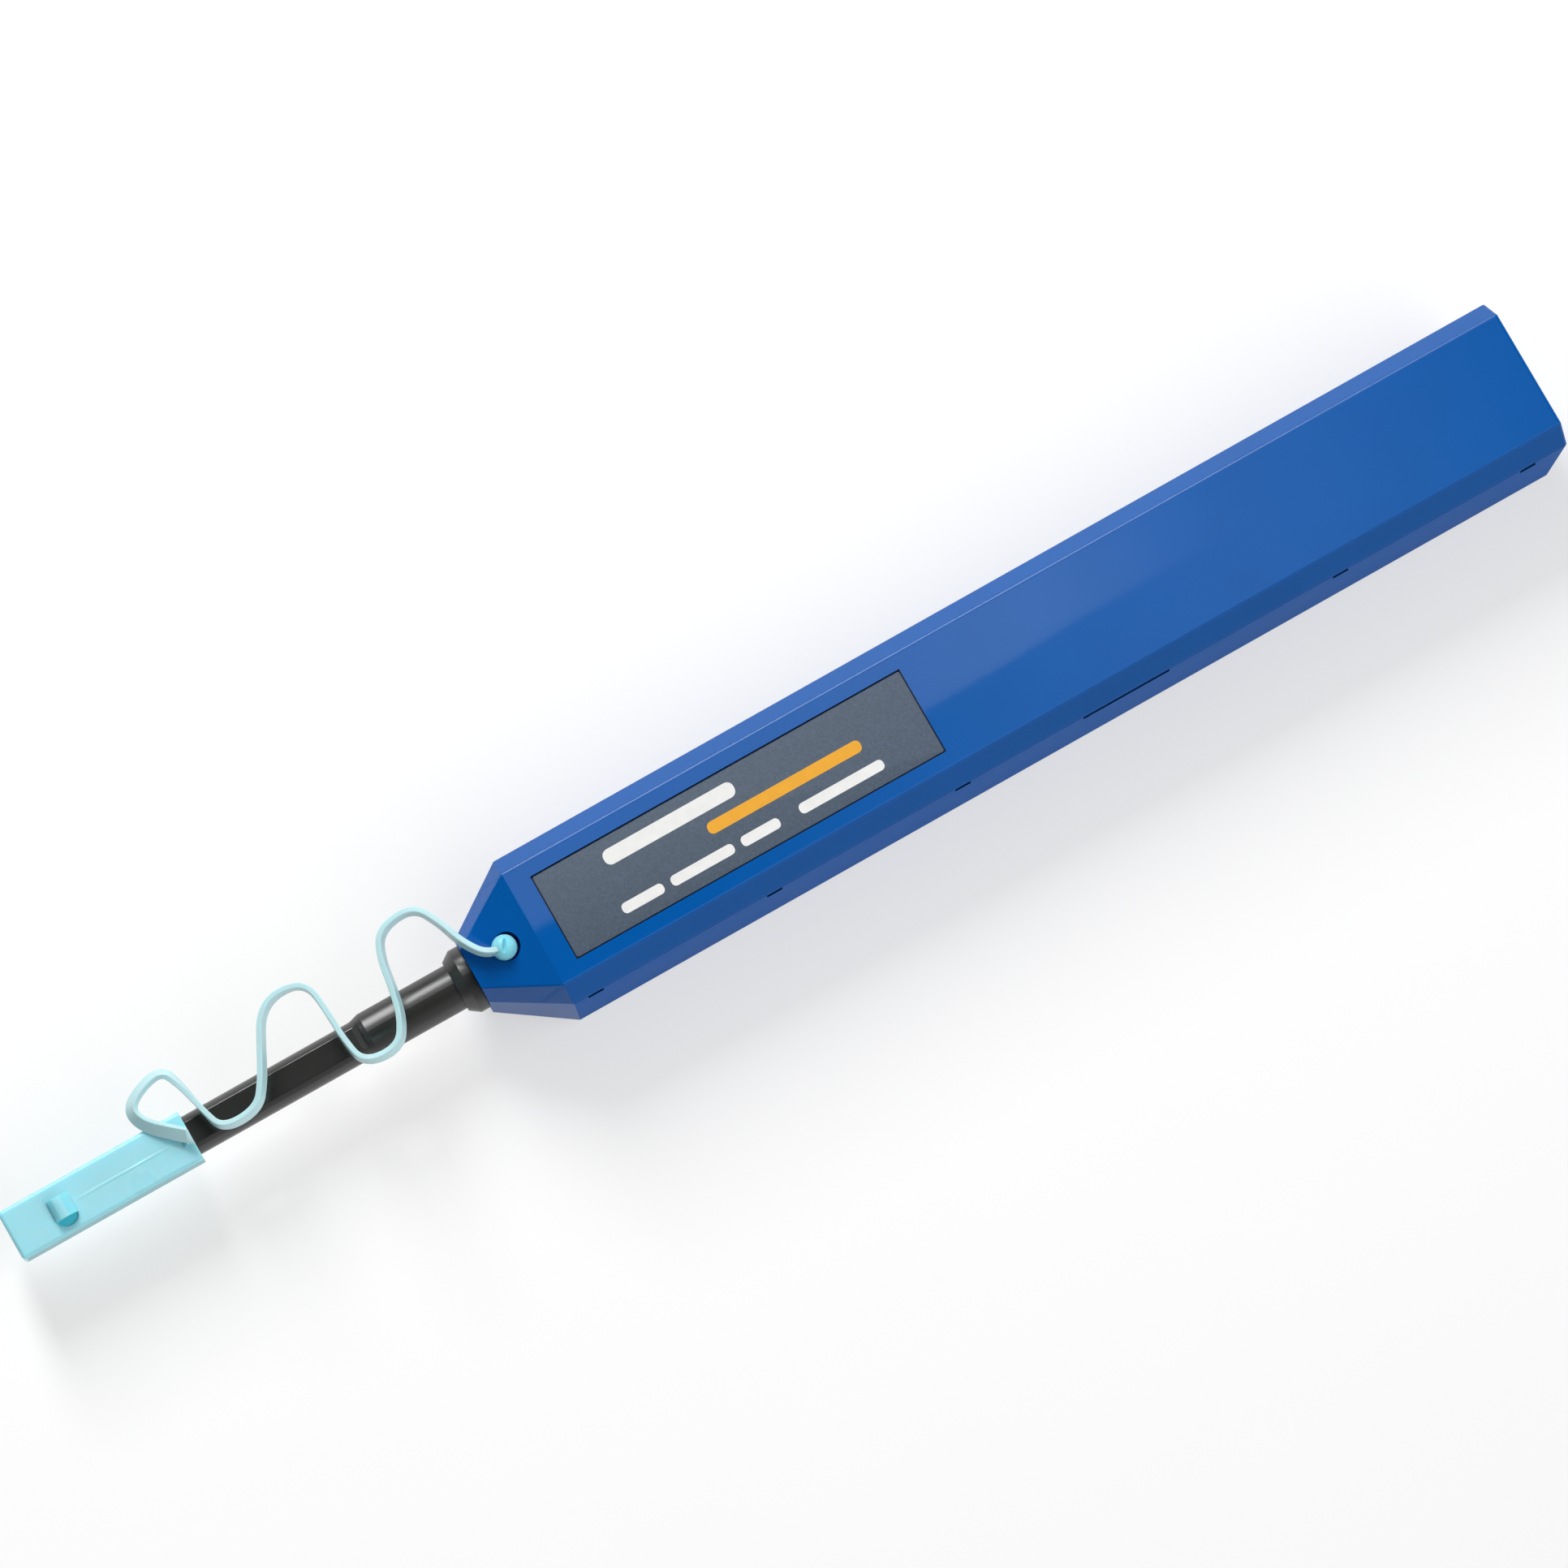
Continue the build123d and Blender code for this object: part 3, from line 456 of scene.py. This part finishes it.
def addBlock(low, high):
    # a box between two corners in millimetres, with its place in its mesh
    bpy.ops.object.select_all(action="DESELECT")
    middle = (Vector(low) + Vector(high)) / 2 * mm
    bpy.ops.mesh.primitive_cube_add(size=1, location=middle)
    block = bpy.context.object
    block.scale = (Vector(high) - Vector(low)) * mm
    bpy.ops.object.transform_apply(location=True, scale=True)
    return block


# white floor, lit to about white, so it keeps the pen's shadow
ground = {
    "size": 9.0, "drop": 0.0001, "lift": 0.5,
    "colour": (0.96, 0.96, 0.96), "grain": 0.01, "grainScale": 40.0, "grainBand": (0.2, 0.8),
}


def layFloor():
    bpy.ops.object.select_all(action="DESELECT")
    bpy.ops.mesh.primitive_plane_add(size=ground["size"], location=(0, 0, -ground["drop"]))
    floor = bpy.context.object
    floor.name = "floor"
    bpy.ops.object.transform_apply(location=True)
    material, tree, output = newMaterial("floor_white")
    paper = addNode(tree, "ShaderNodeBsdfDiffuse")
    coords = addNode(tree, "ShaderNodeTexCoord").outputs["Object"]
    grain = noiseAt(tree, coords, ground["grainScale"])
    base = Vector(ground["colour"])
    tones = (base * (1 - ground["grain"]), base)
    tree.links.new(rampFrom(tree, grain, zip(ground["grainBand"], tones)), paper.inputs["Color"])
    white = addNode(tree, "ShaderNodeEmission")
    rays = addNode(tree, "ShaderNodeLightPath").outputs
    seen = combine(tree, "MAXIMUM", rays["Is Camera Ray"], rays["Is Glossy Ray"])
    seen = combine(tree, "MAXIMUM", seen, rays["Is Transmission Ray"])
    mixed = addNode(tree, "ShaderNodeMixShader")
    tree.links.new(combine(tree, "MULTIPLY", seen, ground["lift"]), mixed.inputs["Fac"])
    tree.links.new(paper.outputs["BSDF"], mixed.inputs[1])
    tree.links.new(white.outputs["Emission"], mixed.inputs[2])
    tree.links.new(mixed.outputs["Shader"], output.inputs["Surface"])
    floor.data.materials.append(material)


layFloor()
print("floor laid")


# the lower shell, with the windows of the snap hooks and the long pry slot under the seam, cut taller
# than in the solid so that they show from above
windows = {
    "front": -31.0, "places": [2.8, 26.2, 50.9, 100.6, 125.3], "long": 2.0, "pryPlace": 72.4, "pryLong": 11.3,
    "drop": 0.2, "tall": 1.2, "deep": 0.8, "smooth": 30,
}


def makeLowerShell():
    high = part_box("lower_case")[1]
    edge, top = high.y / mm, high.z / mm - windows["drop"]
    inner, base = edge - windows["deep"], top - windows["tall"]
    piece = copyOf("lower_case", "lower_case_shell")
    rows = [(windows["front"] + place, windows["long"]) for place in windows["places"]]
    rows.append((windows["front"] + windows["pryPlace"], windows["pryLong"]))
    cutters = []
    for x, length in rows:
        for side in (-1, 1):
            left, right = sorted((side * inner, side * (edge + windows["deep"])))
            cutters.append(addBlock((x - length / 2, left, base), (x + length / 2, right, top)))
    takeAway(piece, joinAll(cutters, "window_cutter"))
    shadeSmooth(piece, windows["smooth"])
    finishModifier(piece, "WEIGHTED_NORMAL", keep_sharp=True)
    dress(piece, "case_blue", "lower_blue", ("window_painted_shade", "nose_blue"))
    paintedShade, nose = 1, 2
    for face in piece.data.polygons:
        x, y, z = face.center / mm
        if x < windows["front"]:
            face.material_index = nose
        # painted shade: faces inside the windows take the near-black finish
        inLength = any(abs(x - place) < length / 2 + touch for place, length in rows)
        if inLength and inner - touch < abs(y) < edge - touch and base - touch < z < top + touch:
            face.material_index = paintedShade
    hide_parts("lower_case")
    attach(piece, "case")


makeLowerShell()


# the guide cap sits a little turned on the nozzle, with a fine ridge along its top and a shallow
# half-round scoop beside the nub's near end, which holds a painted shadow of the nub
cap = {
    "turn": 5.0, "axisHeight": 8.0, "slack": -0.15, "smooth": 35,
    "ridgeFrom": 8.6, "ridgeTo": 2.4, "ridgeTaper": 1.2, "ridgeWide": 0.4, "ridgeHigh": 0.08,
    "nubPlace": 6.8, "nubEnd": -1.3, "nubReach": 1.55, "nubFacets": (-0.5, 0.2),
    "scoop": (1.3, 1.0, 0.15), "scoopSides": 48, "scoopRim": 0.001,  # along, across and down
    "lugClear": 0.1,
    "endFacing": -0.8, "lugFacing": -0.7, "sideFacing": -0.9, "topFacing": 0.999,  # limits for the normals
}


def raiseRidge(piece, low, high, top):
    begin, end = low.x / mm + cap["ridgeFrom"], high.x / mm - cap["ridgeTo"]
    taper, half = cap["ridgeTaper"], cap["ridgeWide"] / 2
    cuts = [(Vector((x, 0, 0)), (1, 0, 0)) for x in (begin, begin + taper, end - taper, end)]
    cuts += [(Vector((0, y, 0)), (0, 1, 0)) for y in (-half, 0, half)]
    for place, facing in cuts:
        openMesh(piece)
        bpy.ops.mesh.bisect(plane_co=place * mm, plane_no=facing)
        closeMesh()

    def onCrest(vertex):
        x, y, z = vertex.co / mm
        onLine = abs(y) < touch and abs(z - top) < touch
        return onLine and begin + taper - touch < x < end - taper + touch

    pickWhere(piece, "VERT", "vertices", onCrest)
    bpy.ops.transform.translate(value=(0, 0, cap["ridgeHigh"] * mm))
    closeMesh()


def cutScoop(piece, nub):
    bpy.ops.object.select_all(action="DESELECT")
    bpy.ops.mesh.primitive_cylinder_add(vertices=cap["scoopSides"], radius=mm, depth=2 * mm)
    cutter = bpy.context.object
    cutter.data.transform(Matrix.Translation(nub * mm) @ Matrix.Diagonal((*cap["scoop"], 1)))
    openMesh(cutter)
    bpy.ops.mesh.bisect(plane_co=nub * mm, plane_no=(0, 1, 0), use_fill=True, clear_outer=True)
    closeMesh()
    takeAway(piece, cutter)


def paintCapShade(piece, low, nub, top):
    dress(piece, "cap_clear", None, ("cap_deep_and_painted_shade", "nub_painted_shadow", "cap_side_painted_shade"))
    clear, deep, end, side = range(4)
    left, right = cap["nubFacets"]
    wide, depth = cap["scoop"][1:]
    for face in piece.data.polygons:
        x, y, z = face.center / mm
        facing = face.normal
        nearNub = abs(x - nub.x) < cap["nubReach"]
        inScoop = nearNub and nub.y - wide - touch < y < nub.y + touch and 0 < top - z < depth + touch
        # painted shade: the nub's sides take the deeper colour and its end face the painted shadow colour;
        # its top strip stays clear
        if nearNub and z > top + touch:
            strip = clear if left < facing.x < right else deep
            face.material_index = end if facing.y < cap["endFacing"] else strip
        # painted shadow: the scoop's floor and walls take the nub's shadow colour
        elif inScoop:
            face.material_index = end if z < top - cap["scoopRim"] else clear
        # painted shade: the lug's end faces take the deeper colour
        elif z > top + cap["lugClear"] and (facing.y < cap["endFacing"] or facing.x < cap["lugFacing"]):
            face.material_index = deep
        # painted shade: the near side wall takes the greyer finish
        elif facing.y < cap["sideFacing"] and y < low.y / mm + touch:
            face.material_index = side


def makeCap():
    low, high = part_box("guide_cap")
    top = cap["axisHeight"] + (high.y - low.y) / mm / 2
    nub = Vector((low.x / mm + cap["nubPlace"], cap["nubEnd"] - touch, top))
    piece = copyOf("guide_cap", "guide_cap_shell")
    raiseRidge(piece, low, high, top)
    cutScoop(piece, nub)
    paintCapShade(piece, low, nub, top)
    pickWhere(piece, "FACE", "polygons",
              lambda face: face.normal.z > cap["topFacing"] and abs(face.center.z / mm - top) < touch)
    bpy.ops.mesh.region_to_loop()
    bpy.ops.mesh.mark_sharp()  # a crisp border keeps the flat top's shading even
    bpy.ops.mesh.select_mode(type="VERT")
    bpy.ops.mesh.select_all(action="SELECT")
    bpy.ops.transform.rotate(value=-math.radians(cap["turn"]), orient_axis="X",
                             center_override=(0, 0, cap["axisHeight"] * mm))
    bpy.ops.transform.translate(value=(0, cap["slack"] * mm, 0))
    closeMesh()
    shadeSmooth(piece, cap["smooth"])
    finishModifier(piece, "WEIGHTED_NORMAL", keep_sharp=True)
    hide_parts("guide_cap")
    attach(piece, "cap")


makeCap()
print("cap made")


# the plug: a soft-edged ball with a flare towards the strap and a short crease, on a stem in the nose
ball = {
    "centre": (-34.78, 0.0, 14.95), "radius": 1.5, "sides": (48, 24),
    "lean": 18.0,  # slope of the nose's upper face, in degrees
    "stemRadius": 0.75, "stemDepth": 3.0, "stemSides": 32,
    "facets": [
        ((0.1, -0.3, 1.0), 1.4), ((0.75, 0.2, 0.62), 1.43),
        ((-0.2, 0.85, 0.5), 1.43), ((0.1, -0.9, 0.42), 1.42),
    ],
    "flareFrom": (-36.35, 0.12, 15.2), "flareTo": (-34.9, 0.0, 14.95),
    "flareThin": 0.42, "flareWide": 0.95, "flareHigh": 0.688, "flareSides": 32,
    "creaseAt": (0.05, 0.0, 1.46), "creaseSize": (1.1, 0.27, 0.5), "creaseTurn": 60.0,
    "creaseSides": (32, 16),
    "voxel": 0.06, "soften": 0.5, "softenSteps": 5, "smooth": 40,
}


def makeBall():
    centre = Vector(ball["centre"]) * mm
    lean = math.radians(ball["lean"])
    nose = Vector((-math.sin(lean), 0, math.cos(lean)))
    segments, rings = ball["sides"]
    bpy.ops.object.select_all(action="DESELECT")
    bpy.ops.mesh.primitive_uv_sphere_add(segments=segments, ring_count=rings, radius=ball["radius"] * mm,
                                         location=centre)
    head = bpy.context.object
    bpy.ops.object.transform_apply(location=True)
    for normal, reach in ball["facets"]:
        facing = Vector(normal).normalized()
        openMesh(head)
        bpy.ops.mesh.bisect(plane_co=centre + facing * reach * mm, plane_no=facing, use_fill=True,
                            clear_outer=True)
        closeMesh()
    begin, finish = Vector(ball["flareFrom"]) * mm, Vector(ball["flareTo"]) * mm
    way = finish - begin
    bpy.ops.object.select_all(action="DESELECT")
    bpy.ops.mesh.primitive_cone_add(vertices=ball["flareSides"], radius1=ball["flareThin"] * mm,
                                    radius2=ball["flareWide"] * mm, depth=way.length)
    flare = bpy.context.object
    flare.data.transform(Matrix.Diagonal((ball["flareHigh"] / ball["flareThin"], 1, 1, 1)))
    flare.data.transform(Matrix.Translation((begin + finish) / 2)
                         @ way.to_track_quat("Z", "X").to_matrix().to_4x4())
    bpy.ops.object.select_all(action="DESELECT")
    bpy.ops.mesh.primitive_cylinder_add(vertices=ball["stemSides"], radius=ball["stemRadius"] * mm,
                                        depth=ball["stemDepth"] * mm)
    stem = bpy.context.object
    stem.data.transform(Matrix.Translation(centre - nose * ball["stemDepth"] / 2 * mm)
                        @ nose.to_track_quat("Z", "Y").to_matrix().to_4x4())
    piece = joinAll([head, flare, stem], "tether_ball")
    finishModifier(piece, "REMESH", mode="VOXEL", voxel_size=ball["voxel"] * mm)
    finishModifier(piece, "SMOOTH", factor=ball["soften"], iterations=ball["softenSteps"])
    segments, rings = ball["creaseSides"]
    bpy.ops.object.select_all(action="DESELECT")
    bpy.ops.mesh.primitive_uv_sphere_add(segments=segments, ring_count=rings, radius=mm)
    cutter = bpy.context.object
    cutter.data.transform(Matrix.Diagonal((*ball["creaseSize"], 1)))
    cutter.data.transform(Matrix.Rotation(math.radians(ball["creaseTurn"]), 4, "Z"))
    cutter.data.transform(Matrix.Translation(centre + Vector(ball["creaseAt"]) * mm))
    takeAway(piece, cutter)
    shadeSmooth(piece, ball["smooth"])
    dress(piece, "cap_clear", "cap_deep_and_painted_shade")
    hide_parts("tether_plug")
    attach(piece, "case")
    return piece


tetherBall = makeBall()
print("ball made")


# the label: a thin film on a near-black bed whose rim round the film is a painted shadow of the recess,
# printed with plain bars; each bar runs from x to x, at y, this high
label = {
    "film": 0.12, "inset": 0.07, "corner": 0.25, "edge": 0.03, "edgeSteps": 2, "smooth": 30,
    "bed": 0.03, "bedOver": 0.05, "bedCorner": 0.1, "cornerSteps": 6,
    "ink": 0.015, "inkSink": 0.02, "inkRound": 0.42,
    "white": [
        (-20.0, -3.0, 3.0, 1.9), (-21.0, -15.6, -3.1, 1.3), (-14.6, -6.4, -3.1, 1.3), (-5.4, -0.4, -3.1, 1.3),
        (2.2, 13.2, -3.1, 1.3),
    ],
    "amber": [(-8.0, 12.0, 0.1, 1.5)],
}


def roundedBar(x0, x1, y, high, z0, z1, corner):
    bar = addBlock((x0, y - high / 2, z0), (x1, y + high / 2, z1))
    openMesh(bar)
    bpy.ops.mesh.select_all(action="DESELECT")
    closeMesh()
    for edge in bar.data.edges:
        a, b = (bar.data.vertices[at].co for at in edge.vertices)
        edge.select = abs(a.z - b.z) > abs(a.x - b.x) + abs(a.y - b.y)
    bpy.ops.object.mode_set(mode="EDIT")
    bpy.ops.mesh.select_mode(type="EDGE")
    bpy.ops.mesh.bevel(offset=corner * mm, segments=label["cornerSteps"], affect="EDGES")
    bpy.ops.mesh.select_mode(type="FACE")
    closeMesh()
    return bar


def makeLabel():
    low, high = (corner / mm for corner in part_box("label_plate"))
    middle, wide = (low.y + high.y) / 2, high.y - low.y
    bedTop = high.z - label["film"]
    over, inset = label["bedOver"], label["inset"]
    bed = roundedBar(low.x - over, high.x + over, middle, wide + 2 * over, bedTop - label["bed"], bedTop,
                     label["bedCorner"])
    bed.name = "label_painted_shadow_bed"
    dress(bed, "label_grey", "label_painted_shadow_bed")
    film = roundedBar(low.x + inset, high.x - inset, middle, wide - 2 * inset, bedTop, high.z,
                      label["corner"])
    film.name = "label_film"
    finishModifier(film, "BEVEL", width=label["edge"] * mm, segments=label["edgeSteps"], limit_method="ANGLE")
    dress(film, "label_grey")
    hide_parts("label_plate")
    inkBase, inkTop = high.z - label["inkSink"], high.z + label["ink"]
    inks = []
    for tone in ("white", "amber"):
        bars = [roundedBar(x0, x1, y, tall, inkBase, inkTop, tall * label["inkRound"])
                for x0, x1, y, tall in label[tone]]
        ink = joinAll(bars, "label_print_" + tone)
        dress(ink, "label_grey", "print_" + tone)
        inks.append(ink)
    for piece in [bed, film] + inks:
        shadeSmooth(piece, label["smooth"])
        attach(piece, "case")


makeLabel()
print("label made")


# the two coil springs, which the push and the head press closed while their rear ends stay; each is a smooth
# copy of its solid that rides with its body
springs = {
    "return_spring": {"body": "case", "joint": "push_slide", "stroke": 8.0, "smooth": 50},
    "tip_spring": {"body": "cam", "joint": "head_press", "stroke": 1.0, "smooth": 50},
}


def makeSpring(node, look):
    piece = copyOf(node, node + "_coil")
    shadeSmooth(piece, look["smooth"])
    dress(piece, "spring_steel")
    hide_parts(node)
    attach(piece, look["body"])
    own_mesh(piece)


for node, look in springs.items():
    makeSpring(node, look)
print("springs made")


# the tether: a flat strap on edge, laid flat at its root on the cap, as two lengths that meet where
# both follow the nozzle; each point is along, across and its twist in degrees
tether = {
    "start": (-77.2, 0.0, 12.2),
    "rise": 4.29,
    "width": 1.8,
    "thick": 0.66,
    "round": 0.09,
    "meetAt": 12,
    "mouth": -76.42,  # the root ends flush with the cap's mouth
    "rootReach": 2.2,
    "steps": 10, "order": 3, "weld": 0.000005, "smooth": 40,
    "route": [
        (1.2, -1.1, 54), (-0.5, 0.35, 50), (-3.7, 3.4, 42), (-3.8, 6.1, 36), (1.4, 7.9, 33), (2.6, 5.0, 12),
        (3.4, 1.1, 0), (4.3, -2.0, -8), (9.0, -2.0, -14), (11.0, 0.6, -16), (12.6, 3.7, -14),
        (14.6, 7.5, -12), (17.5, 8.7, -8), (20.9, 7.8, -2), (21.3, 3.3, 0), (21.4, 0.1, -2),
        (22.0, -3.6, -8), (26.5, -4.1, -15), (28.4, -1.3, -15), (29.2, 2.4, -13), (29.7, 6.1, -13),
        (31.1, 8.9, -12), (35.6, 9.4, -6), (37.4, 6.3, -8), (38.5, 2.9, -12), (40.5, 0.0, -8), (42.2, 0.0, 0),
    ],
}


def routePoints():
    start = Vector(tether["start"])
    rise = math.radians(tether["rise"])
    places, turns = [], []
    for u, v, turn in tether["route"]:
        places.append((start + Vector((u * math.cos(rise), v, u * math.sin(rise)))) * mm)
        turns.append(math.radians(turn))
    return places, turns


def strapProfile():
    # small closed rectangle with rounded corners, the strap's cross-section
    thick, wide, cut = tether["thick"] / 2 * mm, tether["width"] / 2 * mm, tether["round"] * mm
    corners = []
    for sx, sy in ((1, 1), (-1, 1), (-1, -1), (1, -1)):
        first, second = (sx * thick, sy * (wide - cut)), (sx * (thick - cut), sy * wide)
        corners += [first, second] if sx * sy > 0 else [second, first]
    curve = bpy.data.curves.new("strap_profile", "CURVE")
    curve.dimensions = "2D"
    spline = curve.splines.new("POLY")
    spline.points.add(len(corners) - 1)
    for point, (x, y) in zip(spline.points, corners):
        point.co = (x, y, 0, 1)
    spline.use_cyclic_u = True
    profile = bpy.data.objects.new("strap_profile", curve)
    bpy.context.collection.objects.link(profile)
    return profile


def makeStrap(name, points, turns, profile):
    curve = bpy.data.curves.new(name, "CURVE")
    curve.dimensions = "3D"
    curve.resolution_u = tether["steps"]
    curve.twist_mode = "Z_UP"
    spline = curve.splines.new("NURBS")
    spline.points.add(len(points) - 1)
    for point, place, turn in zip(spline.points, points, turns):
        point.co = (*place, 1)
        point.tilt = turn
    spline.order_u = tether["order"]
    spline.use_endpoint_u = True
    strap = bpy.data.objects.new(name, curve)
    bpy.context.collection.objects.link(strap)
    bpy.context.view_layer.update()
    line = bpy.data.meshes.new_from_object(strap)  # the bare line, before it gets its section
    path = [vertex.co.copy() for vertex in line.vertices]
    bpy.data.meshes.remove(line)
    curve.bevel_mode = "OBJECT"
    curve.bevel_object = profile
    curve.use_fill_caps = True
    pickOnly(strap)
    bpy.ops.object.convert(target="MESH")
    strap = bpy.context.object
    openMesh(strap)
    bpy.ops.mesh.remove_doubles(threshold=tether["weld"])
    bpy.ops.mesh.normals_make_consistent(inside=False)
    closeMesh()
    shadeSmooth(strap, tether["smooth"])
    dress(strap, "cap_clear", "strap_pale")
    length = sum((b - a).length for a, b in zip(path, path[1:]))
    print(name, "length", round(length, 5))
    return strap, path, length


def trimRoot(strap, root):
    reach = tether["rootReach"] * mm
    pickWhere(strap, "FACE", "polygons", lambda face: (face.center - root).length < reach)
    bpy.ops.mesh.bisect(plane_co=(tether["mouth"] * mm, 0, 0), plane_no=(1, 0, 0), use_fill=True,
                        clear_outer=True)
    closeMesh()


def makeTether():
    points, turns = routePoints()
    at = tether["meetAt"] + 1
    meet = (points[at - 1] + points[at]) / 2
    profile = strapProfile()
    capEnd, capPath, capLength = makeStrap("strap_cap_end", points[:at] + [meet], turns[:at] + [0], profile)
    plugEnd, plugPath, plugLength = makeStrap("strap_plug_end", ([meet] + points[at:])[::-1],
                                              [-turn for turn in ([0] + turns[at:])[::-1]], profile)
    bpy.data.objects.remove(profile)
    trimRoot(capEnd, points[0])
    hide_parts("cap_tether")
    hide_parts("cap_tether")
    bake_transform(capEnd)
    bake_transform(plugEnd)


makeTether()
print("tether made")

bpy.context.scene.view_settings.view_transform = "Standard"
